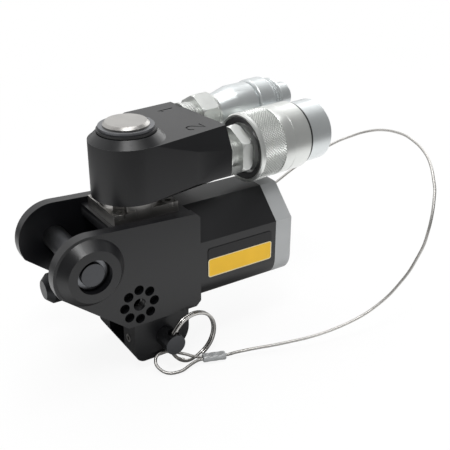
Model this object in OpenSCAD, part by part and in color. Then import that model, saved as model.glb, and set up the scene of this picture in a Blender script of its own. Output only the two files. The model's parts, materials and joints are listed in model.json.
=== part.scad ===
// Drive unit of a modular hydraulic torque wrench.
// X runs rearwards along the cylinder, -Y is the side with the handle holes, Z is up.
// The origin is the middle of the cross pin that carries the cassette.

/* [Housing] */
// Width over the two side plates
plate_width = 46; // [40:1:60]
// Thickness of a side plate
plate_thickness = 5.1; // [4:0.1:7]
// Radius of the rounded ear around the cross pin
ear_radius = 17.2; // [15:0.1:20]
// Rear edge of the side plates
plate_rear = 54.8; // [50:0.1:60]
// Underside of the side plates
plate_bottom = -34; // [-38:0.5:-32]
// Width over the flats of the cylinder part
barrel_width = 44.4; // [38:0.2:56]
// Front of the end cap
cap_front = 98.3; // [92:0.1:110]
// Thickness of the end cap
cap_thickness = 9.3; // [8:0.1:14]
// Height of the deck that the swivel stands on
deck_top = 13.5; // [12.5:0.1:16]

/* [Cylinder] */
// Height of the cylinder axis
ram_height = -15.5; // [-17:0.1:-15]
// Bore of the cylinder
bore_diameter = 32; // [28:0.5:33]
// Diameter of the piston rod
rod_diameter = 14; // [12:0.5:15]
// Front tip of the retracted rod
rod_tip = -14; // [-16:0.5:-8]
// Forward travel of the piston
stroke = 25; // [15:1:25]

/* [Cross pin] */
// Diameter of the cross pin
cross_pin_diameter = 11; // [9:0.5:12]
// Diameter of the flat top of the ear boss
boss_top_diameter = 24.4; // [22:0.2:26]
// Diameter of the foot of the ear boss
boss_base_diameter = 31.6; // [29:0.2:33]
// Height of the ear boss
boss_height = 4.5; // [3.5:0.1:6]
// Diameter of the recess for the retaining clip
clip_recess_diameter = 16; // [15:0.2:18]

/* [Handle socket] */
// Position of the socket along the cylinder
socket_x = 22.3; // [20:0.1:24]
// Height of the socket
socket_z = -23.1; // [-25:0.1:-22]
// Pitch circle of the index holes
index_circle = 15; // [14.6:0.1:15.8]
// Diameter of an index hole
index_hole = 4.8; // [3.6:0.1:5]
// Number of index holes
index_count = 8; // [6:1:8]
// Thread bore of the handle
handle_thread = 6.2; // [5:0.1:6.8]

/* [Swivel] */
// Position of the swivel post along the cylinder
post_x = 31.2; // [31:0.1:33]
// Diameter of the swivel post
post_diameter = 21; // [19:0.5:23]
// Resting angle of the swivel
swivel_angle = 5.4; // [0:0.2:12]
// Radius of the round end of the swivel block
block_radius = 17.5; // [17:0.1:19]
// Underside of the swivel block
block_bottom = 22.4; // [21.5:0.1:24]
// Top of the swivel block
block_top = 48.2; // [46:0.1:52]
// Distance of the coupler face from the post
block_reach = 44.5; // [42:0.5:50]
// Far side of the coupler face
block_far = 30; // [29:0.5:34]
// Near side of the coupler face
block_near = 19; // [17:0.5:20]

/* [Couplers] */
// Sideways place of the screw-on coupler
port_b_side = -8.5; // [-9:0.1:-7]
// Height of the screw-on coupler
port_b_height = 32; // [31.5:0.1:34]
// Sideways place of the nipple coupler
port_a_side = 23; // [21:0.1:24]
// Height of the nipple coupler
port_a_height = 40.5; // [38:0.1:41]
// Diameter of the knurled collar
collar_diameter = 34; // [32:0.5:35]
// Length of the knurled collar
collar_length = 31.5; // [28:0.5:38]
// Diameter of the body of the nipple coupler
nipple_diameter = 24.8; // [23:0.2:26]
// Distance over the flats of the two hexagons
hex_flats = 22; // [19:1:24]

/* [Retaining pin] */
// Position of the retaining pin along the cylinder
retainer_x = 36.5; // [35:0.1:37]
// Height of the retaining pin
retainer_z = -46.3; // [-47:0.1:-45.8]
// Diameter of the retaining pin
retainer_diameter = 8; // [7:0.5:9]
// Diameter of its head
retainer_head = 10; // [9.4:0.2:11]
// Width of the lug that holds the pin
lug_width = 40; // [38:1:42]
// Width of the slot for the cassette tongue
tongue_width = 16; // [12:1:18]
// Mean radius of the pull ring
ring_radius = 12.6; // [12:0.1:13]

/* [Lanyard] */
// Diameter of the wire rope
wire_diameter = 1.5; // [1.2:0.1:1.6]

/* [Fits] */
// Radial clearance of sliding and turning fits
running_gap = 0.05; // [0.03:0.01:0.08]
// Radial clearance of parts that only sit in place
seat_gap = 0.05; // [0.03:0.01:0.1]
// Clearance between faces that turn past each other
face_gap = 0.3; // [0.2:0.05:0.4]

/* [Hidden] */
$fn = 72;
half_plate = plate_width / 2;
plate_inner = half_plate - plate_thickness;
half_barrel = barrel_width / 2;
foot = [16.4, plate_bottom];
foot_inset = ear_radius * 0.925;
foot_way = 90 + atan2(foot[0], -foot[1]) + asin(foot_inset / norm(foot));
foot_touch = foot_inset * [cos(foot_way + 90), sin(foot_way + 90)];
barrel_top = deck_top - 1;
barrel_front = 36;
top_flat = 8;
side_top = -1.5;
corner_r = 12;
cap_rear = cap_front + cap_thickness;
bore_r = bore_diameter / 2;
rod_r = rod_diameter / 2;
gland_r = rod_r + 4;
spigot_length = 6;
screw_high = half_barrel - 11.7;
screw_low = half_barrel - 7.6;
cap_screw_spots = [[screw_high, 3], [-screw_high, 3], [screw_low, plate_bottom + 6],
    [-screw_low, plate_bottom + 6]];
piston_length = 16;
piston_rear = cap_front - spigot_length - 0.5;
piston_front = piston_rear - piston_length;
bore_front = piston_front - stroke - 0.8;
stub_r = 4;
nut_length = 3.9;
oil_r = 1.6;
feed_x = post_x + 7;
feed_y = 4.2;
feed_z = deck_top - 7.5;
pin_r = cross_pin_diameter / 2;
boss_face = half_plate + boss_height;
recess_floor = boss_face - 5;
clip_t = 1.2;
pin_end = recess_floor + clip_t + 1.6;
flange_x = 32;
flange_front = post_x - 14.7;
flange_y = 28;
flange_t = 5;
flange_top = deck_top + flange_t;
post_r = post_diameter / 2;
foot_top = block_bottom - face_gap;
boss_top = block_top + 3.4;
washer_t = 1;
washer_r = post_r + 2.9;
clip_low = boss_top + face_gap + washer_t;
stem_clip_t = 1.4;
post_top = clip_low + stem_clip_t + 1.8;
stem_spots = [[-11, -11], [13.6, -11], [13.6, 11], [-11, 11]];
block_bend = 24.7;
slant_height = 7;
slant_angle = -24;
slant_yaw = 5;
plug_x = 14;
seal_heights = [block_bottom + 4, block_bottom + 13, block_bottom + 22];
lug_near = lug_width / 2;
lug_front = 20.5;
lug_rear = 49.5;
lug_bottom = -57;
lug_round = 12;
lug_nose = 5;
lug_screw_spots = [[lug_rear - 4.5, 11], [lug_rear - 4.5, -11]];
lug_seat = plate_bottom - 8;
detent_y = -13;
retainer_r = retainer_diameter / 2;
head_r = retainer_head / 2;
ring_y = -(lug_near + 6.6);
head_face = ring_y - 3.6;
ring_section = 1.6;
ring_width = 2.6;
ring_hole_x = retainer_x + 0.6;
ring_hole_r = 2.65;
ring_drop = 2.2;
ring_turn = 6;
port_r = 5;
washer_end = block_reach + 1.5;
hex_r = hex_flats / sqrt(3);
a_hex_start = washer_end + 6.5;
a_hex_end = a_hex_start + 10;
b_hex_start = washer_end + 4.5;
b_hex_end = b_hex_start + 6;
b_collar_start = block_reach + 13.5;
b_collar_end = b_collar_start + collar_length;
b_nose_end = b_collar_end + 16;
collar_r = collar_diameter / 2;
b_core_r = collar_r - 4.5;
b_bore_r = 8;
a_core_start = a_hex_end + 2.5;
a_cone_end = a_core_start + 11;
a_step = a_cone_end + 12;
a_body_end = a_step + 10.4;
a_thread_end = a_body_end + 6.6;
a_nose_end = a_thread_end + 9;
nipple_r = nipple_diameter / 2;
nose_r = 7;
sleeve_r = 6;
wire_r = wire_diameter / 2;
anchor_x = cap_front + cap_thickness / 2;
anchor_z = -10;
tag_end = anchor_x + 14;
tag_y = half_barrel + 2;
ferrule_a = [51.1, -30, -59.3];
ferrule_b = [62, -33, -59.8];
ferrule_way = (ferrule_b - ferrule_a) / norm(ferrule_b - ferrule_a);
ferrule_side = [-ferrule_way[1], ferrule_way[0], 0] / norm([ferrule_way[0], ferrule_way[1]]);
strand = wire_r + 0.2;
eye_start = ferrule_a - ferrule_way * 0.35 + ferrule_side * strand;
eye_end = ferrule_a - ferrule_way * 0.35 - ferrule_side * strand;
// Round route of the wire rope, from the crimp to the tag on the end cap
wire_run = [ferrule_b + ferrule_way * 0.35, ferrule_b + ferrule_way * 1.8, [66.9, -35.2, -58.8],
    [72.2, -37.7, -57.8], [77.9, -39.9, -57.3], [85, -42.6, -56.8],
    [93.5, -45.6, -56], [101.8, -48.5, -55], [112, -51.6, -53], [121.9, -54.4, -50], [130, -56.5, -46.6],
    [137.2, -58.3, -42], [142.3, -59.8, -37.4], [146.5, -61.2, -32], [150.4, -62.5, -26.2],
    [153.3, -63.5, -20], [156, -64.8, -12], [157.7, -65.1, -4], [159.6, -64.2, 0.8], [161.9, -62.5, 5],
    [164.4, -60.2, 8.8], [167.3, -57.3, 12], [170, -53.4, 15.3], [173.2, -48.8, 18], [177.3, -42.6, 20],
    [181.3, -35.7, 21], [184.8, -27.9, 21.8], [187.7, -19.7, 22], [190.9, -11.8, 21.3], [193.2, -3.7, 20],
    [194.3, 3.6, 18.7], [194.1, 10.8, 17], [192.9, 16.4, 15.1], [190.2, 21.6, 12.8], [186.2, 26.2, 9.9],
    [181, 30.1, 7], [173.3, 33.8, 2.6], [163, 35.6, -2], [151, 34.6, -6], [138, 30.8, -8.8],
    [127, 26.4, -9.9], [121.5, tag_y + 0.3, anchor_z], [tag_end + 0.05, tag_y, anchor_z]];
// Round route of the eye at the ring end
wire_eye = [eye_start, eye_start - ferrule_way * 1.4 + [0, 0.1, 0.1], [46.6, -27.3, -58], [44.5, -25.9, -57.1],
    [42.3, -24.4, -56.5], [39.4, -22.5, -55.8], [36.2, -21.3, -55.1], [33, -21.1, -54.8], [30.6, -21.6, -55.4],
    [29.2, -22.8, -56.4], [28.6, -25, -58.1], [30.2, -28.3, -60], [33.1, -30.9, -60.6], [38.2, -32.2, -60.3],
    [42.4, -31.5, -59.6], [46, -30.7, -59.3], eye_end - ferrule_way * 1.4, eye_end];

module prism_x(x0, x1)
{
    translate([x0, 0, 0])
        rotate([90, 0, 90])
            linear_extrude(x1 - x0)
                children();
}

module plate_y(y0, y1)
{
    translate([0, y1, 0])
        rotate([90, 0, 0])
            linear_extrude(y1 - y0)
                children();
}

module rod_x(x0, x1, r)
{
    translate([x0, 0, 0])
        rotate([0, 90, 0])
            cylinder(h = x1 - x0, r = r);
}

module cone_x(x0, x1, r0, r1)
{
    translate([x0, 0, 0])
        rotate([0, 90, 0])
            cylinder(h = x1 - x0, r1 = r0, r2 = r1);
}

module rod_y(y0, y1, r)
{
    translate([0, y1, 0])
        rotate([90, 0, 0])
            cylinder(h = y1 - y0, r = r);
}

module ring_on_x(x, mean_r, section_r)
{
    translate([x, 0, 0])
        rotate([0, 90, 0])
            rotate_extrude()
                translate([mean_r, 0])
                    circle(r = section_r, $fn = 24);
}

module swivel()
{
    translate([post_x, 0, 0])
        rotate([0, 0, swivel_angle])
            children();
}

module port_a()
{
    swivel()
        translate([0, port_a_side, port_a_height])
            children();
}

module port_b()
{
    swivel()
        translate([0, port_b_side, port_b_height])
            children();
}

module ram()
{
    translate([0, 0, ram_height])
        children();
}

module socket_screw(shank_r, shank, head_r, head)
{
    difference() {
        union() {
            translate([0, 0, -shank])
                cylinder(h = shank + 0.01, r = shank_r);
            cylinder(h = head, r = head_r);
        }
        translate([0, 0, head * 0.45])
            cylinder(h = head, r = head_r * 0.52, $fn = 6);
    }
}

// Section of the cylinder part and of its end cap
module barrel_section()
{
    corner_y = half_barrel - corner_r;
    corner_z = plate_bottom + corner_r;
    polygon([[-top_flat, barrel_top], [top_flat, barrel_top], [half_barrel, side_top], [half_barrel, corner_z],
        [-half_barrel, corner_z], [-half_barrel, side_top]]);
    translate([-corner_y, plate_bottom])
        square([2 * corner_y, corner_r + 0.01]);
    for (side = [-1, 1])
        translate([side * corner_y, corner_z])
            circle(r = corner_r);
}

// Outline of a side plate, slanted in front below the ear
module plate_outline()
{
    difference() {
        union() {
            polygon([[0, ear_radius], [plate_rear - 2, deck_top + 0.9], [plate_rear, deck_top - 1.1],
                [plate_rear, plate_bottom + 2.5], [plate_rear - 2.5, plate_bottom], foot, foot_touch, [0, 0]]);
            circle(r = ear_radius);
        }
        translate(foot)
            rotate(foot_way - 180)
                translate([-3 * ear_radius, -ear_radius])
                    square([4 * ear_radius, ear_radius]);
    }
}

module ear_boss(side)
{
    translate([0, side * half_plate, 0])
        rotate([-90 * side, 0, 0])
            cylinder(h = boss_height, d1 = boss_base_diameter, d2 = boss_top_diameter);
}

module housing()
{
    color("#1b1c1f")
        difference() {
            union() {
                prism_x(barrel_front, cap_front)
                    barrel_section();
                plate_y(-half_plate, -plate_inner)
                    plate_outline();
                plate_y(plate_inner, half_plate)
                    plate_outline();
                translate([14.5, -half_plate + 1, deck_top - 6])
                    cube([plate_rear - 16.5, plate_width - 2, 6]);
                translate([barrel_front, -half_plate + 1, plate_bottom + 1])
                    cube([plate_rear - barrel_front - 2, plate_width - 2, deck_top - plate_bottom - 3]);
                ear_boss(1);
                ear_boss(-1);
            }
            // Milled seat of the swivel flange
            translate([flange_front - 2.5, -flange_y / 2 - 1.5, deck_top])
                cube([flange_x + 4, flange_y + 3, 8]);
            // Cylinder bore, gland seat and rod hole
            ram()
                rod_x(bore_front, cap_front + 1, bore_r);
            ram()
                rod_x(barrel_front + 3, bore_front + 1, gland_r);
            ram()
                rod_x(barrel_front - 1, bore_front, rod_r + 1);
            // Cross pin bore and clip recesses
            rod_y(-boss_face - 1, boss_face + 1, pin_r + seat_gap);
            rod_y(recess_floor, boss_face + 1, clip_recess_diameter / 2);
            rod_y(-boss_face - 1, -recess_floor, clip_recess_diameter / 2);
            // Handle socket: threaded centre and index holes
            translate([socket_x, 0, socket_z])
                rod_y(-half_plate - 1, -plate_inner + 1, handle_thread / 2);
            for (i = [0 : index_count - 1])
                translate([socket_x, 0, socket_z])
                    rotate([0, 360 * i / index_count, 0])
                        translate([index_circle / 2, 0, 0])
                            rod_y(-half_plate - 1, -half_plate + 3.6, index_hole / 2);
            // Screw holes under the flange, in the rear face and under the lug
            for (spot = stem_spots)
                translate([post_x + spot[0], spot[1], deck_top - 6.8])
                    cylinder(h = 10, r = 2 + seat_gap);
            for (spot = cap_screw_spots)
                translate([0, spot[0], spot[1]])
                    rod_x(cap_front - 12, cap_front + 1, 2 + seat_gap);
            for (spot = lug_screw_spots)
                translate([spot[0], spot[1], plate_bottom - 1])
                    cylinder(h = 4, r = 2 + seat_gap);
            // Oil passages from the swivel foot to the two ends of the cylinder
            for (side = [-1, 1])
                translate([feed_x, side * feed_y, feed_z])
                    cylinder(h = 10, r = oil_r);
            translate([0, feed_y, feed_z])
                rod_x(feed_x, cap_front + 1, oil_r);
            translate([0, -feed_y, feed_z])
                rod_x(feed_x, bore_front + 3, oil_r);
            translate([bore_front + 3, -feed_y, ram_height + bore_r - 4])
                cylinder(h = feed_z - ram_height - bore_r + 4, r = oil_r);
        }
}

module end_cap()
{
    color("#b9bdc0")
        difference() {
            union() {
                prism_x(cap_front, cap_rear)
                    barrel_section();
                ram()
                    rod_x(cap_front - spigot_length, cap_front, bore_r - seat_gap);
            }
            ram()
                ring_on_x(cap_front - spigot_length / 2, bore_r - 0.9, 1.05);
            ram()
                rod_x(cap_front - spigot_length - 1, cap_front + 3.6, bore_r - 6);
            translate([0, feed_y, feed_z])
                rod_x(cap_front - 1, cap_front + 3, oil_r);
            translate([cap_front + 2, feed_y, ram_height])
                cylinder(h = feed_z - ram_height, r = oil_r);
            for (spot = cap_screw_spots)
                translate([0, spot[0], spot[1]]) {
                    rod_x(cap_front - 1, cap_rear + 1, 2 + seat_gap);
                    rod_x(cap_rear - 4.6, cap_rear + 1, 3.5 + seat_gap);
                }
            translate([anchor_x, 0, anchor_z])
                rod_y(half_barrel - 6, half_barrel + 1, 1.5 + seat_gap);
        }
}

module cap_screws()
{
    color("#3b3d40")
        for (spot = cap_screw_spots)
            translate([cap_rear - 4.6, spot[0], spot[1]])
                rotate([0, 90, 0])
                    socket_screw(2, 15, 3.5, 4);
}

module cap_seal()
{
    color("#141414")
        ram()
            ring_on_x(cap_front - spigot_length / 2, bore_r - 0.9, 0.85);
}

module rod_gland()
{
    color("#a8884e")
        ram()
            difference() {
                rod_x(barrel_front + 3, bore_front, gland_r - seat_gap);
                rod_x(barrel_front, bore_front + 1, rod_r + running_gap);
                rod_x(bore_front - 5, bore_front + 1, rod_r + 1.8);
            }
}

module rod_seal()
{
    color("#1d3550")
        ram()
            difference() {
                rod_x(bore_front - 5, bore_front - 1, rod_r + 1.75);
                rod_x(bore_front - 6, bore_front, rod_r + running_gap);
            }
}

module piston_rod()
{
    color("#5a5d60")
        ram() {
            cone_x(rod_tip, rod_tip + 3, rod_r - 2.6, rod_r);
            rod_x(rod_tip + 3, piston_front, rod_r);
            rod_x(piston_front, piston_rear + nut_length, stub_r);
        }
}

module piston()
{
    color("#8d9194")
        ram()
            difference() {
                rod_x(piston_front, piston_rear, bore_r - running_gap);
                rod_x(piston_front - 1, piston_rear + 1, stub_r + seat_gap);
                difference() {
                    rod_x(piston_front + 6, piston_front + 10, bore_r + 1);
                    rod_x(piston_front + 5, piston_front + 11, bore_r - 2.5);
                }
            }
}

module piston_seal()
{
    color("#1d3550")
        ram()
            difference() {
                rod_x(piston_front + 6.1, piston_front + 9.9, bore_r - running_gap);
                rod_x(piston_front + 5, piston_front + 11, bore_r - 2.45);
            }
}

module piston_nut()
{
    color("#6f7275")
        ram()
            difference() {
                translate([piston_rear, 0, 0])
                    rotate([0, 90, 0])
                        cylinder(h = nut_length, r = 7, $fn = 6);
                rod_x(piston_rear - 1, piston_rear + nut_length + 1, stub_r + seat_gap);
            }
}

module cross_pin()
{
    color("#4a4d50")
        difference() {
            rod_y(-pin_end, pin_end, pin_r);
            for (side = [-1, 1])
                translate([0, side * (recess_floor + clip_t / 2), 0])
                    difference() {
                        rod_y(-clip_t / 2, clip_t / 2, pin_r + 1);
                        rod_y(-clip_t, clip_t, pin_r - 0.6);
                    }
        }
}

// Retaining clip lying in XY, with its open end and two eyes towards +X
module clip_ring(inner_r, outer_r, thick)
{
    difference() {
        union() {
            cylinder(h = thick, r = outer_r);
            for (side = [-1, 1])
                rotate([0, 0, side * 16])
                    translate([(inner_r + outer_r) / 2, 0, 0])
                        cylinder(h = thick, r = (outer_r - inner_r) / 2 + 0.35);
        }
        translate([0, 0, -1])
            cylinder(h = thick + 2, r = inner_r);
        translate([0, -outer_r * 0.1, -1])
            cube([outer_r * 2, outer_r * 0.2, thick + 2]);
        for (side = [-1, 1])
            rotate([0, 0, side * 16])
                translate([(inner_r + outer_r) / 2, 0, -1])
                    cylinder(h = thick + 2, r = 0.75);
    }
}

module cross_pin_clips()
{
    color("#2b2d30")
        for (side = [-1, 1])
            translate([0, side * recess_floor, 0])
                rotate([-90 * side, 0, 0])
                    rotate([0, 0, -100 * side])
                        clip_ring(pin_r - 0.55, clip_recess_diameter / 2 - 0.7, clip_t - 0.1);
}

module lug_outline()
{
    translate([lug_front, lug_bottom + lug_round])
        square([lug_rear - lug_front, plate_bottom - lug_bottom - lug_round]);
    translate([lug_front, lug_bottom + lug_nose])
        square([lug_rear - lug_round - lug_front, lug_round]);
    translate([lug_front + lug_nose, lug_bottom])
        square([lug_rear - lug_round - lug_front - lug_nose, lug_round]);
    translate([lug_front + lug_nose, lug_bottom + lug_nose])
        circle(r = lug_nose);
    intersection() {
        translate([lug_rear - lug_round, lug_bottom + lug_round])
            circle(r = lug_round);
        translate([lug_front, lug_bottom])
            square([lug_rear - lug_front, plate_bottom - lug_bottom]);
    }
}

module retainer_lug()
{
    color("#1b1c1f")
        difference() {
            plate_y(-lug_near, lug_near)
                lug_outline();
            // Slot for the tongue of the cassette, open to the front and top
            translate([lug_front - 1, -tongue_width / 2, lug_bottom + 4])
                cube([retainer_x + retainer_r + 1.5 - lug_front + 1, tongue_width, 30]);
            translate([retainer_x, 0, retainer_z])
                rod_y(-lug_near - 1, lug_near + 1, retainer_r + running_gap);
            for (spot = lug_screw_spots)
                translate([spot[0], spot[1], lug_bottom - 1]) {
                    cylinder(h = plate_bottom - lug_bottom + 2, r = 2 + seat_gap);
                    cylinder(h = lug_seat - lug_bottom + 1, r = 3.5 + seat_gap);
                }
            // Seat of the detent plunger in the front face
            translate([0, detent_y, retainer_z])
                rod_x(lug_front - 1, retainer_x - retainer_r, 2 + seat_gap);
        }
}

module lug_screws()
{
    color("#3b3d40")
        for (spot = lug_screw_spots)
            translate([spot[0], spot[1], lug_seat])
                rotate([180, 0, 0])
                    socket_screw(2, 10.5, 3.5, 4);
}

module detent_plunger()
{
    color("#9a9da0")
        translate([0, detent_y, retainer_z])
            difference() {
                rod_x(lug_front - 0.2, retainer_x - retainer_r - 0.1, 2);
                rod_x(lug_front - 1, lug_front + 2, 1.1);
            }
}

module swivel_stem()
{
    color("#b4b7b9")
        difference() {
            union() {
                translate([flange_front, -flange_y / 2, deck_top])
                    cube([flange_x, flange_y, flange_t]);
                translate([post_x, 0, deck_top])
                    cylinder(h = foot_top - deck_top, r = block_radius - 3);
                translate([post_x, 0, deck_top])
                    cylinder(h = post_top - 1.2 - deck_top, r = post_r);
                translate([post_x, 0, post_top - 1.2])
                    cylinder(h = 1.2, r1 = post_r, r2 = post_r - 1.2);
            }
            // Groove of the retaining clip
            translate([post_x, 0, clip_low])
                difference() {
                    cylinder(h = stem_clip_t, r = post_r + 1);
                    translate([0, 0, -1])
                        cylinder(h = stem_clip_t + 2, r = post_r - 1);
                }
            // Two oil rings and their ports
            for (i = [0, 1])
                translate([post_x, 0, (seal_heights[i] + seal_heights[i + 1]) / 2 - 1.5])
                    difference() {
                        cylinder(h = 3, r = post_r + 1);
                        translate([0, 0, -1])
                            cylinder(h = 5, r = post_r - 1.5);
                    }
            for (i = [0, 1])
                translate([feed_x, feed_y * (1 - 2 * i), deck_top - 1])
                    cylinder(h = (seal_heights[i] + seal_heights[i + 1]) / 2 - deck_top + 1.5, r = oil_r);
            for (i = [0, 1])
                translate([post_x, 0, (seal_heights[i] + seal_heights[i + 1]) / 2])
                    rotate([0, 90, atan2(feed_y * (1 - 2 * i), feed_x - post_x)])
                        translate([0, 0, norm([feed_x - post_x, feed_y])])
                            cylinder(h = 8, r = 1.4);
            for (spot = stem_spots)
                translate([post_x + spot[0], spot[1], deck_top - 1]) {
                    cylinder(h = 12, r = 2 + seat_gap);
                    translate([0, 0, flange_t - 2.2 + 1])
                        cylinder(h = foot_top - deck_top, r = 3.3 + seat_gap);
                }
            for (side = [-1, 1])
                translate([feed_x, side * feed_y, deck_top])
                    cylinder(h = 2.2, r = 3.2, center = true);
        }
}

module stem_screws()
{
    color("#55585b")
        for (spot = stem_spots)
            translate([post_x + spot[0], spot[1], flange_top - 2.2])
                socket_screw(2, 8.5, 3.1, 2.4);
}

module stem_seals()
{
    color("#141414")
        for (side = [-1, 1])
            translate([feed_x, side * feed_y, deck_top + 0.55])
                rotate_extrude()
                    translate([2.6, 0])
                        circle(r = 0.5, $fn = 24);
}

module stem_clip()
{
    color("#4b4e51")
        translate([post_x, 0, clip_low + 0.05])
            rotate([0, 0, 25])
                clip_ring(post_r - 0.95, post_r + 2.1, stem_clip_t - 0.1);
}

module thrust_washer()
{
    color("#101113")
        translate([post_x, 0, boss_top + face_gap])
            difference() {
                cylinder(h = washer_t, r = washer_r);
                translate([0, 0, -1])
                    cylinder(h = washer_t + 2, r = post_r + seat_gap);
            }
}

module swivel_block()
{
    color("#1b1c1f")
        swivel()
            difference() {
                union() {
                    translate([0, 0, block_bottom])
                        linear_extrude(block_top - block_bottom)
                            union() {
                                circle(r = block_radius);
                                polygon([[0, -block_radius], [block_bend, -block_near],
                                    [block_reach, -block_near],
                                    [block_reach, block_far], [block_radius, block_far],
                                    [-block_radius * 0.64, block_radius * 0.7684], [-block_radius, 0]]);
                            }
                    translate([0, 0, block_top])
                        cylinder(h = boss_top - block_top, r1 = block_radius - 0.2, r2 = washer_r + 0.4);
                }
                translate([0, 0, block_bottom - 1])
                    cylinder(h = 60, r = post_r + running_gap);
                // Slanted edges beside the screw-on coupler
                translate([block_bend, -block_near, block_top - slant_height])
                    rotate([slant_angle, 0, slant_yaw])
                        translate([-block_bend, -20, 0])
                            cube([block_reach, 20, 30]);
                translate([block_bend, -block_near, block_bottom + 3])
                    rotate([50, 0, slant_yaw])
                        translate([-block_bend, -20, -20])
                            cube([block_reach, 20, 20]);
                for (z = seal_heights)
                    translate([0, 0, z])
                        rotate_extrude()
                            translate([post_r + running_gap + 0.9, 0])
                                square([2, 2], center = true);
                // Ports for the adapters and their passages
                translate([0, port_a_side, port_a_height]) {
                    rod_x(block_reach - 10, block_reach + 1, port_r + seat_gap);
                    rod_x(12, block_reach, 2);
                }
                translate([0, port_b_side, port_b_height]) {
                    rod_x(block_reach - 10, block_reach + 1, port_r + seat_gap);
                    rod_x(5, block_reach, 2);
                }
                translate([0, 5, port_a_height])
                    rod_x(post_r - 2.5, plug_x, 2);
                translate([plug_x, 3, port_a_height])
                    rotate([-90, 0, 0])
                        cylinder(h = block_far, r = 2);
                translate([plug_x, block_far - 5, port_a_height])
                    rotate([-90, 0, 0])
                        cylinder(h = 10, r = 3 + seat_gap);
            }
}

module swivel_seals()
{
    color("#141414")
        swivel()
            for (z = seal_heights)
                translate([0, 0, z])
                    rotate_extrude()
                        translate([post_r + running_gap + 0.95, 0])
                            circle(r = 0.85, $fn = 24);
}

module passage_plugs()
{
    color("#6f7275")
        swivel()
            translate([plug_x, block_far - 5, port_a_height])
                rotate([-90, 0, 0])
                    difference() {
                        cylinder(h = 4.8, r = 3);
                        translate([0, 0, 2])
                            cylinder(h = 4, r = 1.5, $fn = 6);
                    }
}

module port_washers()
{
    color("#c3c6c8") {
        port_a()
            difference() {
                rod_x(block_reach, washer_end, port_r + 3.6);
                rod_x(block_reach - 1, washer_end + 1, port_r + 0.2);
            }
        port_b()
            difference() {
                rod_x(block_reach, washer_end, port_r + 4.6);
                rod_x(block_reach - 1, washer_end + 1, port_r + 0.2);
            }
    }
}

// Hexagon adapter between block and coupler, with its oil way
module adapter(hex_start, hex_end, end, corner, neck)
{
    difference() {
        union() {
            rod_x(block_reach - 9, washer_end, port_r);
            rod_x(washer_end, hex_start, neck);
            intersection() {
                translate([hex_start, 0, 0])
                    rotate([0, 90, 0])
                        cylinder(h = hex_end - hex_start, r = corner, $fn = 6);
                cone_x(hex_start - 30, hex_end, corner * 0.93 + 17.3, corner * 0.93);
                cone_x(hex_start, hex_end + 30, corner * 0.93, corner * 0.93 + 17.3);
            }
            rod_x(hex_end, end, neck + 1.5);
        }
        rod_x(block_reach - 10, end + 1, 2.6);
    }
}

module adapter_a()
{
    color("#c9ccce")
        port_a()
            adapter(a_hex_start, a_hex_end, a_core_start, hex_r - 1.2, 7.6);
}

module adapter_b()
{
    color("#c9ccce")
        port_b()
            adapter(b_hex_start, b_hex_end, b_hex_end + 1, hex_r + 0.3, 7.4);
}

module nipple_body()
{
    color("#c4c7c9")
        port_a()
            difference() {
                union() {
                    cone_x(a_core_start, a_cone_end, nipple_r - 3.6, nipple_r - 0.8);
                    rod_x(a_cone_end, a_step - 1, nipple_r - 0.8);
                    rod_x(a_step - 1, a_step, nipple_r - 1.6);
                    cone_x(a_step, a_step + 1, nipple_r - 1, nipple_r);
                    rod_x(a_step + 1, a_body_end - 0.8, nipple_r);
                    cone_x(a_body_end - 0.8, a_body_end, nipple_r, nipple_r - 0.8);
                }
                rod_x(a_core_start - 1, a_body_end + 1, 2.6);
                rod_x(a_body_end - 9, a_body_end + 1, sleeve_r + seat_gap);
            }
}

module nipple_nose()
{
    color("#b9bcbe")
        port_a()
            difference() {
                union() {
                    rod_x(a_body_end - 8.9, a_body_end, sleeve_r);
                    rod_x(a_body_end, a_thread_end - 0.8, nipple_r - 2);
                    cone_x(a_thread_end - 0.8, a_thread_end, nipple_r - 2, nipple_r - 2.8);
                    rod_x(a_thread_end, a_thread_end + 1, nose_r - 0.8);
                    rod_x(a_thread_end + 1, a_nose_end - 1, nose_r);
                    cone_x(a_nose_end - 1, a_nose_end, nose_r, nose_r - 1);
                }
                rod_x(a_body_end - 10, a_nose_end + 1, 4.4);
                rod_x(a_nose_end - 5, a_nose_end + 1, 5.4);
            }
}

module nipple_poppet()
{
    color("#8f9396")
        port_a() {
            rod_x(a_body_end, a_nose_end - 5.8, 4.4 - running_gap);
            cone_x(a_nose_end - 5.8, a_nose_end - 2, 3.6, 2.2);
        }
}

module socket_body()
{
    color("#c4c7c9")
        port_b()
            difference() {
                union() {
                    rod_x(b_hex_end + 1, b_collar_start + 2, b_core_r - 1);
                    rod_x(b_collar_start + 2, b_collar_end - 8, b_core_r);
                }
                rod_x(b_hex_end, b_collar_end, 2.6);
                rod_x(b_collar_end - 20, b_collar_end, b_bore_r);
            }
}

module collar()
{
    color("#d0d3d5")
        port_b()
            difference() {
                union() {
                    rod_x(b_collar_start + 0.8, b_collar_end - 0.6, collar_r);
                    cone_x(b_collar_start, b_collar_start + 0.8, collar_r - 0.8, collar_r);
                    cone_x(b_collar_end - 0.6, b_collar_end, collar_r, collar_r - 0.6);
                }
                rod_x(b_collar_start - 1, b_collar_end + 1, b_core_r + running_gap);
            }
}

module collar_clip()
{
    color("#17181a")
        port_b()
            difference() {
                rod_x(b_collar_end + face_gap, b_collar_end + 1.3, collar_r - 2.6);
                rod_x(b_collar_end, b_collar_end + 2, b_core_r - 0.5);
            }
}

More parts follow.
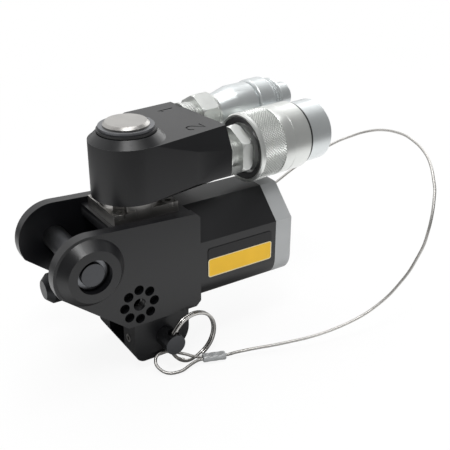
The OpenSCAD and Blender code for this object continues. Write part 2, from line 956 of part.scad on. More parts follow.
module socket_nose()
{
    color("#c9ccce")
        port_b()
            difference() {
                union() {
                    rod_x(b_collar_end - 8, b_collar_end + 1.3, b_core_r - 0.6);
                    rod_x(b_collar_end + 1.3, b_nose_end - 1.5, collar_r - 1.6);
                    cone_x(b_nose_end - 1.5, b_nose_end, collar_r - 1.6, collar_r - 3.1);
                }
                rod_x(b_collar_end - 9, b_nose_end + 1, b_bore_r);
                rod_x(b_collar_end - 1, b_nose_end + 1, b_bore_r + 0.8);
                rod_x(b_collar_end - 2, b_collar_end - 1, b_bore_r + 1.5);
            }
}

module socket_poppet()
{
    color("#8f9396")
        port_b()
            difference() {
                union() {
                    rod_x(b_collar_end - 16, b_collar_end - 6, b_bore_r - running_gap);
                    cone_x(b_collar_end - 6.01, b_collar_end - 2.3, 6, 4);
                }
                rod_x(b_collar_end - 17, b_collar_end - 9, 5);
            }
}

module retaining_pin()
{
    color("#47494c")
        difference() {
            translate([retainer_x, 0, retainer_z]) {
                rod_y(head_face, -lug_near - 0.2, head_r);
                rod_y(-lug_near - 0.3, lug_near + 1.5, retainer_r);
                translate([0, lug_near + 1.5, 0])
                    rotate([-90, 0, 0])
                        cylinder(h = 1.5, r1 = retainer_r, r2 = retainer_r - 1);
            }
            translate([ring_hole_x, ring_y, retainer_z - head_r - 1])
                cylinder(h = head_r * 2 + 2, r = ring_hole_r);
        }
}

module pull_ring()
{
    color("#c9ccce")
        translate([ring_hole_x, ring_y, retainer_z - ring_drop])
            rotate([90, 0, ring_turn])
                translate([ring_radius - 1.1, 0, 0])
                    rotate_extrude($fn = 96)
                        difference() {
                            translate([ring_radius - ring_section / 2, -ring_width / 2])
                                square([ring_section, ring_width]);
                            translate([ring_radius + ring_section / 2, 0])
                                rotate([0, 0, 45])
                                    square([0.35, 0.35], center = true);
                        }
}

function unit(v) = v / norm(v);
function heading(route, i) = unit(route[min(i + 1, len(route) - 1)] - route[max(i - 1, 0)]);
function sideways(d) = unit(cross(d, abs(d[2]) > 0.9 ? [1, 0, 0] : [0, 0, 1]));
function wire_ring(route, i, r, n) =
    let (d = heading(route, i), a = sideways(d), b = cross(a, d))
        [for (k = [0 : n - 1]) route[i] + r * (a * cos(360 * k / n) + b * sin(360 * k / n))];

module wire(route, r)
{
    n = 8;
    rings = len(route);
    points = [for (i = [0 : rings - 1]) each wire_ring(route, i, r, n)];
    sides = [for (i = [0 : rings - 2]) for (k = [0 : n - 1])
        [i * n + k, i * n + (k + 1) % n, (i + 1) * n + (k + 1) % n, (i + 1) * n + k]];
    start = [for (k = [n - 1 : -1 : 0]) k];
    end = [for (k = [0 : n - 1]) (rings - 1) * n + k];
    polyhedron(points, concat([start], sides, [end]));
}

module lanyard()
{
    color("#aeb2b5") {
        wire(wire_run, wire_r);
        wire(wire_eye, wire_r);
    }
}

module along(a, b)
{
    d = b - a;
    translate(a)
        rotate([0, acos(d[2] / norm(d)), atan2(d[1], d[0])])
            children();
}

module ferrule()
{
    color("#c6c9cb")
        along(ferrule_a, ferrule_b)
            cylinder(h = norm(ferrule_b - ferrule_a), r = 2.1, $fn = 32);
}

module anchor_tag()
{
    color("#b9bcbe")
        difference() {
            union() {
                translate([anchor_x, 0, anchor_z])
                    rod_y(half_barrel, half_barrel + 1.6, 4.4);
                translate([anchor_x, half_barrel, anchor_z - 2])
                    cube([6, 1.6, 4]);
                translate([anchor_x + 6, tag_y, anchor_z])
                    rotate([0, 90, 0])
                        cylinder(h = tag_end - anchor_x - 6, r = 1.9);
            }
            translate([anchor_x, 0, anchor_z])
                rod_y(half_barrel - 1, half_barrel + 3, 1.5 + seat_gap);
        }
}

module anchor_screw()
{
    color("#55585b")
        translate([anchor_x, half_barrel + 1.6, anchor_z])
            rotate([-90, 0, 0])
                socket_screw(1.5, 7, 3, 2.2);
}

housing();
end_cap();
cap_screws();
cap_seal();
rod_gland();
rod_seal();
cross_pin();
cross_pin_clips();
retainer_lug();
lug_screws();
detent_plunger();
swivel_stem();
stem_screws();
stem_seals();
stem_clip();
thrust_washer();
swivel_block();
swivel_seals();
passage_plugs();
port_washers();
adapter_a();
nipple_body();
nipple_nose();
nipple_poppet();
adapter_b();
socket_body();
collar();
collar_clip();
socket_nose();
socket_poppet();
piston();
piston_seal();
piston_rod();
piston_nut();
retaining_pin();
pull_ring();
lanyard();
ferrule();
anchor_tag();
anchor_screw();
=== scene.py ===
import json
import math

import bmesh
import bpy
from bpy.props import FloatProperty, FloatVectorProperty, IntProperty, PointerProperty
from mathutils import Matrix, Vector


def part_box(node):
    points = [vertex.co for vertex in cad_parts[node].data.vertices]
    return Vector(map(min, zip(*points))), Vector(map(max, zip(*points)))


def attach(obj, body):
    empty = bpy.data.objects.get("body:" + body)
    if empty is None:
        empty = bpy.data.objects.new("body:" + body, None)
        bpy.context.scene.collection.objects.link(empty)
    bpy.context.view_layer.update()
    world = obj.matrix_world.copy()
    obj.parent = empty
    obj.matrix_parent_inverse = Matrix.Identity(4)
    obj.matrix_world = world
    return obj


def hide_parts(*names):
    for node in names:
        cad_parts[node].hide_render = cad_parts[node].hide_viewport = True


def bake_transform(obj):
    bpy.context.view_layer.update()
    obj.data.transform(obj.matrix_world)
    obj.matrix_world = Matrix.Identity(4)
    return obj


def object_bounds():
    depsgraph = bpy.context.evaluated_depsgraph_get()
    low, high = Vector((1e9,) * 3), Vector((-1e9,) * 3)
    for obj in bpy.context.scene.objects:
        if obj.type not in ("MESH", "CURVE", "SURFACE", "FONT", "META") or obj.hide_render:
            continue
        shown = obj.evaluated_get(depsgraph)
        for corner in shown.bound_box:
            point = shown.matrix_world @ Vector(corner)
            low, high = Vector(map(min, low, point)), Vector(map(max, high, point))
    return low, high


bl_info = {
    "name": "Hydraulic torque wrench drive unit",
    "version": (1, 0, 0),
    "blender": (4, 5, 0),
    "location": "View3D > Sidebar > Torque wrench",
    "description": "Dresses the drive unit of a modular hydraulic torque wrench",
    "category": "Object",
}

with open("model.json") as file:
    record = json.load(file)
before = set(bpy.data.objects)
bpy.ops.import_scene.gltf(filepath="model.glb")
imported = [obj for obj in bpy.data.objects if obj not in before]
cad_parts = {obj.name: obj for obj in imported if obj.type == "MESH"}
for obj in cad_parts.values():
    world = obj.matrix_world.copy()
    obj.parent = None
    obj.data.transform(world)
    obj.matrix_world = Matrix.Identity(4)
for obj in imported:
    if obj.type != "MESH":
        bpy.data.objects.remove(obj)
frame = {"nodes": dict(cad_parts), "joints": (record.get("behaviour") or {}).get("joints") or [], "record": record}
CAD_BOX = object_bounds()

MM = 0.001
JOINTS = {joint["name"]: joint for joint in frame["joints"]}
MOUNTS = {mount["name"]: mount for mount in frame["record"]["mounts"]}
# Turn of the couplers about Z
TURN_ANGLE = math.atan2(JOINTS["collar_spin"]["axis"][1], JOINTS["collar_spin"]["axis"][0])


# Sizes, colours and view that a user may change

class WrenchSizes(bpy.types.PropertyGroup):
    """Sizes of the dressed details, in metres"""

    edge: FloatProperty(
        name="Edge break", description="Width of the broken edges on the machined blocks",
        default=0.45 * MM, min=0.1 * MM, max=1.0 * MM, unit="LENGTH")
    fine_edge: FloatProperty(
        name="Fine edge", description="Width of the broken edges on turned and small pieces",
        default=0.2 * MM, min=0.05 * MM, max=0.4 * MM, unit="LENGTH")
    knurl_around: IntProperty(
        name="Knurl count", description="Diamonds around the collar", default=70, min=30, max=90)
    knurl_rows: IntProperty(
        name="Knurl rows", description="Rows of diamonds along the collar", default=18, min=8, max=40)
    knurl_height: FloatProperty(
        name="Knurl height", description="How far a diamond stands out",
        default=0.6 * MM, min=0.2 * MM, max=1.0 * MM, unit="LENGTH")
    knurl_length: FloatProperty(
        name="Knurl length", description="Length of the knurled band",
        default=13 * MM, min=8 * MM, max=20 * MM, unit="LENGTH")
    thread_pitch: FloatProperty(
        name="Thread pitch", description="Pitch of the threads on the couplers",
        default=1.4 * MM, min=0.8 * MM, max=2.5 * MM, unit="LENGTH")
    wire: FloatProperty(
        name="Wire rope", description="Diameter of the wire rope of the lanyard",
        default=1.5 * MM, min=1.2 * MM, max=1.6 * MM, unit="LENGTH")
    lay_length: FloatProperty(
        name="Lay length", description="Length of one turn of the rope's strands",
        default=11 * MM, min=6 * MM, max=20 * MM, unit="LENGTH")
    plate: FloatProperty(
        name="Plate", description="Thickness of the bare plate on the side of the cylinder",
        default=0.3 * MM, min=0.2 * MM, max=0.8 * MM, unit="LENGTH")
    mark: FloatProperty(
        name="Port mark", description="Height of the engraved port numbers",
        default=8.5 * MM, min=4 * MM, max=11 * MM, unit="LENGTH")


class WrenchColours(bpy.types.PropertyGroup):
    """Colours of the finishes"""

    black: FloatVectorProperty(
        name="Black anodised", description="Hard anodised aluminium of housing, lug and block",
        default=(0.004, 0.0042, 0.0052), size=3, min=0, max=1, subtype="COLOR")
    silver: FloatVectorProperty(
        name="Clear anodised", description="Satin aluminium of the end cap and the crimp",
        default=(0.39, 0.40, 0.405), size=3, min=0, max=1, subtype="COLOR")
    nickel: FloatVectorProperty(
        name="Nickel", description="Plating of the adapters, washers, socket body and knurled collar",
        default=(0.69, 0.705, 0.685), size=3, min=0, max=1, subtype="COLOR")
    zinc: FloatVectorProperty(
        name="Blue zinc", description="Plating of the nipple and of the socket's nose",
        default=(0.66, 0.69, 0.695), size=3, min=0, max=1, subtype="COLOR")
    dark: FloatVectorProperty(
        name="Blackened steel", description="Screws, pins, clips and the piston rod",
        default=(0.085, 0.087, 0.092), size=3, min=0, max=1, subtype="COLOR")
    ground: FloatVectorProperty(
        name="Ground steel", description="Stem, piston, valves, pull ring and wire rope",
        default=(0.43, 0.42, 0.405), size=3, min=0, max=1, subtype="COLOR")
    bronze: FloatVectorProperty(
        name="Bronze", description="Gland of the piston rod",
        default=(0.46, 0.28, 0.1), size=3, min=0, max=1, subtype="COLOR")
    # Also the colour of the black ring of painted shade in the collar's mouth
    rubber: FloatVectorProperty(
        name="Rubber", description="Seals, the washer of the swivel and the rings of the collar",
        default=(0.011, 0.011, 0.012), size=3, min=0, max=1, subtype="COLOR")
    yellow: FloatVectorProperty(
        name="Plate field", description="Lower field of the bare plate",
        default=(0.80, 0.47, 0.022), size=3, min=0, max=1, subtype="COLOR")


class WrenchView(bpy.types.PropertyGroup):
    """Camera of the picture"""

    azimuth: FloatProperty(
        name="Azimuth", description="Angle of the camera round the part",
        default=math.radians(31.82), subtype="ANGLE")
    elevation: FloatProperty(
        name="Elevation", description="Angle of the camera above the part",
        default=math.radians(26.1), subtype="ANGLE")
    roll: FloatProperty(
        name="Roll", description="Turn of the picture", default=math.radians(-0.3), subtype="ANGLE")
    distance: FloatProperty(
        name="Distance", description="Camera to the point it looks at",
        default=396.58 * MM, unit="LENGTH")
    target: FloatVectorProperty(
        name="Target", description="Point that the camera looks at",
        default=(73.33 * MM, 0, -4.28 * MM), size=3, subtype="TRANSLATION")
    lens: FloatProperty(name="Lens", description="Focal length in millimetres", default=64.24)
    shift: FloatVectorProperty(
        name="Shift", description="Lens shift, as a share of the frame",
        default=(0.0368, -0.0075), size=2)


def sizes():
    return bpy.context.scene.wrench_sizes


def colours():
    return bpy.context.scene.wrench_colours


# Node trees and finishes

class Value:
    """A socket that can be used in a Python expression."""

    def __init__(self, finish, socket):
        self.finish = finish
        self.socket = socket

    def math(self, operation, other, swap=False):
        a, b = (other, self) if swap else (self, other)
        made = self.finish.add("ShaderNodeMath", {"operation": operation}, {0: a, 1: b})
        return Value(self.finish, made.outputs[0])

    def __add__(self, other):
        return self.math("ADD", other)

    __radd__ = __add__

    def __sub__(self, other):
        return self.math("SUBTRACT", other)

    def __rsub__(self, other):
        return self.math("SUBTRACT", other, True)

    def __mul__(self, other):
        return self.math("MULTIPLY", other)

    __rmul__ = __mul__

    def __truediv__(self, other):
        return self.math("DIVIDE", other)

    def least(self, other):
        return self.math("MINIMUM", other)


class Finish:
    """A node tree under construction: a material, the world or a geometry group."""

    def __init__(self, name, tree=None):
        if tree is None:
            self.material = bpy.data.materials.new(name)
            self.material.use_nodes = True
            tree = self.material.node_tree
        self.tree = tree
        tree.nodes.clear()

    def add(self, kind, settings=None, sockets=None):
        made = self.tree.nodes.new(kind)
        for key, value in (settings or {}).items():
            setattr(made, key, value)
        for key, value in (sockets or {}).items():
            socket = made.inputs[key]
            if isinstance(value, Value):
                self.tree.links.new(value.socket, socket)
            elif socket.type == "RGBA" and len(value) == 3:
                socket.default_value = (*value, 1)
            else:
                socket.default_value = value
        return made

    def out(self, kind, output=0, settings=None, sockets=None):
        return Value(self, self.add(kind, settings, sockets).outputs[output])

    def place(self):
        return self.out("ShaderNodeTexCoord", "Object")

    def noise(self, scale, detail=2.0, stretch=None, turn=0.0):
        """Noise whose grains are drawn out by stretch, along axes turned about Z."""
        place = self.place()
        if stretch:
            place = self.out("ShaderNodeMapping", 0, {"vector_type": "TEXTURE"},
                             {"Vector": place, "Scale": stretch, "Rotation": (0, 0, turn)})
        return self.out("ShaderNodeTexNoise", "Fac", None,
                        {"Vector": place, "Scale": scale, "Detail": detail})

    def blend(self, factor, a, b):
        return self.out("ShaderNodeMix", 2, {"data_type": "RGBA", "clamp_factor": True},
                        {0: factor, 6: a, 7: b})

    def bump(self, height, strength, distance):
        return self.out("ShaderNodeBump", 0, None,
                        {"Height": height, "Strength": strength, "Distance": distance})

    def ramp(self, value, start, end, first, last):
        """Smooth step from first to last while the value goes from start to end."""
        return self.out("ShaderNodeMapRange", 0, {"interpolation_type": "SMOOTHSTEP"},
                        {0: value, 1: start, 2: end, 3: first, 4: last})

    def rays(self):
        """Whether a ray comes from the camera, through glass too, and whether it is a reflection."""
        path = self.add("ShaderNodeLightPath")
        seen, through, glossy = (Value(self, path.outputs[name])
                                 for name in ("Is Camera Ray", "Is Transmission Ray", "Is Glossy Ray"))
        return (seen + through).least(1.0), glossy

    def surface(self, **sockets):
        named = {key.replace("_", " "): value for key, value in sockets.items()}
        shader = self.out("ShaderNodeBsdfPrincipled", 0, None, named)
        self.add("ShaderNodeOutputMaterial", None, {"Surface": shader})
        return self.material


def tinted(colour, factor):
    return tuple(min(1.0, part * factor) for part in colour)


def black_anodised():
    """Blasted and hard anodised aluminium."""
    finish = Finish("black_anodised")
    cloud = finish.noise(45, 3)
    grain = finish.noise(2600, 2)
    black = colours().black
    return finish.surface(
        Base_Color=finish.blend(cloud, tinted(black, 0.7), tinted(black, 1.5)),
        Roughness=0.27 + 0.08 * cloud + 0.08 * grain,
        Specular_IOR_Level=0.5,
        Normal=finish.bump(grain, 0.1, 0.05 * MM))


def silver_anodised():
    """Satin clear anodised aluminium, with the lines of the facing cutter."""
    finish = Finish("silver_anodised")
    cloud = finish.noise(40, 3)
    lines = finish.noise(900, 3, (1, 1, 25))
    grain = finish.noise(2400, 2)
    silver = colours().silver
    return finish.surface(
        Base_Color=finish.blend(cloud, tinted(silver, 0.9), tinted(silver, 1.08)),
        Metallic=0.25,
        Roughness=0.36 + 0.12 * lines,
        Normal=finish.bump(0.6 * grain + 0.4 * lines, 0.1, 0.05 * MM))


def plated(name, colour, low):
    """Bright plated turned steel, with fine lines round the coupler."""
    finish = Finish(name)
    turned = finish.noise(2100, 2, (1, 50, 50), TURN_ANGLE)
    cloud = finish.noise(70, 3)
    return finish.surface(
        Base_Color=finish.blend(cloud, tinted(colour, 0.9), tinted(colour, 1.08)),
        Metallic=0.85,
        Roughness=low + 0.06 * turned + 0.05 * cloud,
        Normal=finish.bump(turned, 0.03, 0.03 * MM))


def steel(name, colour, low, high):
    """Plain machined steel with fine scratches."""
    finish = Finish(name)
    cloud = finish.noise(90, 4)
    scratch = finish.noise(1500, 3, (10, 1, 1))
    return finish.surface(
        Base_Color=finish.blend(cloud, tinted(colour, 0.8), tinted(colour, 1.2)),
        Metallic=1.0,
        Roughness=low + (high - low) * (0.5 * cloud + 0.5 * scratch),
        Normal=finish.bump(scratch, 0.08, 0.04 * MM))


def moulded(name, colour, rough):
    """Rubber and moulded plastic."""
    finish = Finish(name)
    cloud = finish.noise(160, 3)
    grain = finish.noise(1900, 2)
    return finish.surface(
        Base_Color=finish.blend(cloud, tinted(colour, 0.8), tinted(colour, 1.5)),
        Roughness=rough + 0.12 * grain,
        Normal=finish.bump(grain, 0.15, 0.05 * MM))


def painted(name, colour):
    """Screen printed plate under a clear film."""
    finish = Finish(name)
    cloud = finish.noise(110, 3)
    grain = finish.noise(1300, 2)
    return finish.surface(
        Base_Color=finish.blend(cloud, tinted(colour, 0.92), tinted(colour, 1.06)),
        Roughness=0.42 + 0.08 * grain,
        Specular_IOR_Level=0.35,
        Normal=finish.bump(grain, 0.05, 0.03 * MM))


PLATE_PALE = (0.72, 0.63, 0.38)
PLATE_BLACK = (0.008, 0.008, 0.009)
FINISHES = {}


def make_finishes():
    hue = colours()
    FINISHES.update({
        "black_anodised": black_anodised(),
        "silver_anodised": silver_anodised(),
        "nickel": plated("nickel", hue.nickel, 0.26),
        "blue_zinc": plated("blue_zinc", hue.zinc, 0.28),
        "bright_steel": steel("bright_steel", tinted(hue.ground, 1.3), 0.16, 0.3),
        "dark_steel": steel("dark_steel", hue.dark, 0.28, 0.5),
        "black_oxide": steel("black_oxide", tinted(hue.dark, 0.35), 0.3, 0.5),
        "spring_steel": steel("spring_steel", tinted(hue.dark, 2.2), 0.25, 0.45),
        "ground_steel": steel("ground_steel", hue.ground, 0.26, 0.46),
        "bronze": steel("bronze", hue.bronze, 0.25, 0.45),
        "seal": moulded("seal", hue.rubber, 0.5),
        "washer_black": moulded("washer_black", hue.rubber, 0.34),
        "wire": steel("wire", tinted(hue.ground, 1.25), 0.35, 0.5),
        "plate_yellow": painted("plate_yellow", hue.yellow),
        "plate_pale": painted("plate_pale", PLATE_PALE),
        "plate_black": painted("plate_black", PLATE_BLACK),
    })


# Mesh tools

def body_of(node):
    for body, members in frame["record"]["behaviour"]["bodies"].items():
        if node in members:
            return body
    raise RuntimeError("no body carries " + node)


def mm(points):
    return [Vector(point) * MM for point in points]


def along(pos, axis):
    """Frame whose X runs along an axis through a point."""
    return Matrix.Translation(pos) @ Vector(axis).to_track_quat("X", "Z").to_matrix().to_4x4()


def span(node, place):
    """Start and end of a node along a frame's X, and its least and largest radius about it."""
    back = place.inverted()
    points = [back @ vert.co for vert in frame["nodes"][node].data.vertices]
    radii = [math.hypot(point.y, point.z) for point in points]
    reach = [point.x for point in points]
    return min(reach), max(reach), min(radii), max(radii)


# Frames of the two couplers, and of the swivel at the height of the part's origin
PLACE_A = along(MOUNTS["hose_nipple"]["pos_m"], MOUNTS["hose_nipple"]["axis"])
PLACE_B = along(JOINTS["collar_spin"]["pos_m"], JOINTS["collar_spin"]["axis"])
PLACE_SWIVEL = along((*JOINTS["swivel_turn"]["pos_m"][:2], 0), JOINTS["collar_spin"]["axis"])
# Heights of the swivel block, without the boss on it
BLOCK_TOP = 48.2 * MM
BLOCK_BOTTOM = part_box("swivel_block")[0][2]


def skin(rings, loop=False):
    """Closed surface over rings of points, capped unless the rings close on themselves."""
    work = bmesh.new()
    rows = [[work.verts.new(point) for point in ring] for ring in rings]
    size = len(rows[0])
    for a, b in zip(rows, rows[1:] + (rows[:1] if loop else [])):
        for k in range(size):
            n = (k + 1) % size
            work.faces.new((a[k], a[n], b[n], b[k]))
    if not loop:
        work.faces.new(rows[0])
        work.faces.new(rows[-1])
    bmesh.ops.recalc_face_normals(work, faces=work.faces)
    return work


def joined(works):
    """One bmesh that holds the shapes of several."""
    whole = bmesh.new()
    for work in works:
        part = bpy.data.meshes.new("part")
        work.to_mesh(part)
        work.free()
        whole.from_mesh(part)
        bpy.data.meshes.remove(part)
    return whole


def new_piece(name, work, finish, place=None, smooth_angle=35):
    """Object of a shape, with its place in its mesh and smooth up to an angle."""
    mesh = bpy.data.meshes.new(name)
    work.to_mesh(mesh)
    work.free()
    if place:
        mesh.transform(place)
    if finish:
        mesh.materials.append(FINISHES[finish])
    mesh.shade_smooth()
    mesh.set_sharp_from_angle(angle=math.radians(smooth_angle))
    made = bpy.data.objects.new(name, mesh)
    bpy.context.scene.collection.objects.link(made)
    return made


def declare(made, slot, body, *nodes):
    """Says what a piece moves with and what it stands for. The slot is not used."""
    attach(made, body)
    if nodes:
        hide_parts(*nodes)
    return made


def plain_mesh(made):
    """Turns an object with its modifiers into a plain mesh."""
    seen = made.evaluated_get(bpy.context.evaluated_depsgraph_get())
    mesh = bpy.data.meshes.new_from_object(seen)
    made.modifiers.clear()
    made.data = mesh


def dress(shown, finish):
    shown.data.materials.clear()
    shown.data.materials.append(FINISHES[finish])


# Points nearer than WELD are joined, edges flatter than FLAT_ANGLE are dissolved, and only those over
# SHARP_ANGLE are broken or kept sharp
WELD = 0.002 * MM
FLAT_ANGLE = math.radians(0.4)
SHARP_ANGLE = math.radians(25)


def cleaned(node):
    """A copy of a node without the edges that lie within its flat faces."""
    work = bmesh.new()
    work.from_mesh(frame["nodes"][node].data)
    bmesh.ops.remove_doubles(work, verts=work.verts, dist=WELD)
    bmesh.ops.dissolve_limit(work, angle_limit=FLAT_ANGLE, verts=work.verts, edges=work.edges)
    made = bpy.data.objects.new(node + "_body", bpy.data.meshes.new(node + "_body"))
    bpy.context.scene.collection.objects.link(made)
    work.to_mesh(made.data)
    work.free()
    return made


def cut_away(made, cutter):
    """Takes the cutter's shape out of a piece, and removes the cutter."""
    cut = made.modifiers.new("cut", "BOOLEAN")
    cut.operation = "DIFFERENCE"
    cut.solver = "EXACT"
    cut.use_self = True
    cut.object = cutter
    plain_mesh(made)
    bpy.data.objects.remove(cutter)


def weigh_edges(made, fine, share):
    """Weighs outer edges for the bevel, as a share in the fine places, and keeps inner edges sharp."""
    work = bmesh.new()
    work.from_mesh(made.data)
    weight = work.edges.layers.float.new("bevel_weight_edge")
    for edge in work.edges:
        if edge.calc_face_angle(0) <= SHARP_ANGLE:
            continue
        edge.smooth = edge.is_convex
        if edge.is_convex:
            middle = (edge.verts[0].co + edge.verts[1].co) / 2
            near = any((middle - place).length < reach for place, reach in fine)
            edge[weight] = share if near else 1.0
    work.to_mesh(made.data)
    work.free()
    made.data.shade_smooth()


def softened(node, width, finish, slot, fine=(), cutter=None, share=0.3):
    """A copy of a node, cut if need be, whose outer edges are broken, less so in the fine places."""
    made = cleaned(node)
    if cutter:
        cut_away(made, cutter)
    weigh_edges(made, fine, share)
    bevel = made.modifiers.new("edges", "BEVEL")
    bevel.width = width
    bevel.segments = 2
    bevel.limit_method = "WEIGHT"
    even = made.modifiers.new("even", "WEIGHTED_NORMAL")
    even.mode = "FACE_AREA"
    even.weight = 100
    even.keep_sharp = True
    plain_mesh(made)
    dress(made, finish)
    return declare(made, slot, body_of(node), node)


def circle(x, radius, around):
    angles = (2 * math.pi * k / around for k in range(around))
    return [Vector((x, radius * math.cos(angle), radius * math.sin(angle))) for angle in angles]


def lathe(profile, around=96):
    """Closed turned shape about the X axis, from (x, radius) points."""
    return skin([circle(x, radius, around) for x, radius in profile], True)


def sweep(path, section, twist=0.0):
    """Carries a section, a list of (side, up) points, along an open path."""
    side = None
    rings = []
    travelled = 0.0
    for i, point in enumerate(path):
        heading = (path[min(i + 1, len(path) - 1)] - path[max(i - 1, 0)]).normalized()
        if side is None:
            helper = Vector((0, 0, 1)) if abs(heading.z) < 0.9 else Vector((1, 0, 0))
            side = heading.cross(helper).normalized()
        side = (side - heading * side.dot(heading)).normalized()
        up = side.cross(heading)
        if i:
            travelled += (point - path[i - 1]).length
        turn = Matrix.Rotation(twist * travelled, 3, heading)
        rings.append([point + turn @ (side * s + up * u) for s, u in section])
    return skin(rings)


def thread(start, end, core, height, pitch, around=40):
    """Helical ridge about X that runs out at both ends; a negative height points inwards."""
    length = end - start - pitch
    steps = max(around, round(length / pitch * around))
    # Gain in height at each step of the run-in, depth of the foot, half widths of foot and tip in pitches
    gain, sink, foot, tip = 3 / around, 0.15 * height, 0.46, 0.09
    rings = []
    for i in range(steps + 1):
        angle = 2 * math.pi * i / around
        fade = min(1.0, (i + 1) * gain, (steps - i + 1) * gain)
        out = Vector((0, math.cos(angle), math.sin(angle)))
        x = start + pitch / 2 + length * i / steps
        crest = core + height * fade
        root = core - sink
        rings.append([out * radius + Vector((x + shift * pitch, 0, 0))
                      for shift, radius in ((-foot, root), (-tip, crest), (tip, crest), (foot, root))])
    return skin(rings)


def rounded(width, height, radius, steps=5):
    """Points of a rounded rectangle about the origin, with some steps to a corner."""
    points = []
    for sx, sy, first in ((1, 1, 0), (-1, 1, 1), (-1, -1, 2), (1, -1, 3)):
        for k in range(steps + 1):
            angle = math.pi / 2 * (first + k / steps)
            points.append((sx * (width / 2 - radius) + radius * math.cos(angle),
                           sy * (height / 2 - radius) + radius * math.sin(angle)))
    return points


def smooth_path(points, step):
    """Round curve through the points, sampled about every step."""
    ends = [points[0] * 2 - points[1]] + points + [points[-1] * 2 - points[-2]]
    path = []
    for a, b, c, d in zip(ends, ends[1:], ends[2:], ends[3:]):
        pieces = max(1, round((c - b).length / step))
        for i in range(pieces):
            t = i / pieces
            path.append(0.5 * (2 * b + (c - a) * t + (2 * a - 5 * b + 4 * c - d) * t * t
                               + (3 * b - a - 3 * c + d) * t ** 3))
    path.append(points[-1].copy())
    return path


def path_length(path):
    return sum((b - a).length for a, b in zip(path, path[1:]))


# Pieces

# Ends of the crimp in millimetres, where the eye and the run of the lanyard leave it
CRIMP_EYE = Vector((51.1, -30, -59.3))
CRIMP_RUN = Vector((62, -33, -59.8))
CRIMP_WAY = (CRIMP_RUN - CRIMP_EYE).normalized()
CRIMP_SIDE = Vector((-CRIMP_WAY.y, CRIMP_WAY.x, 0)).normalized()


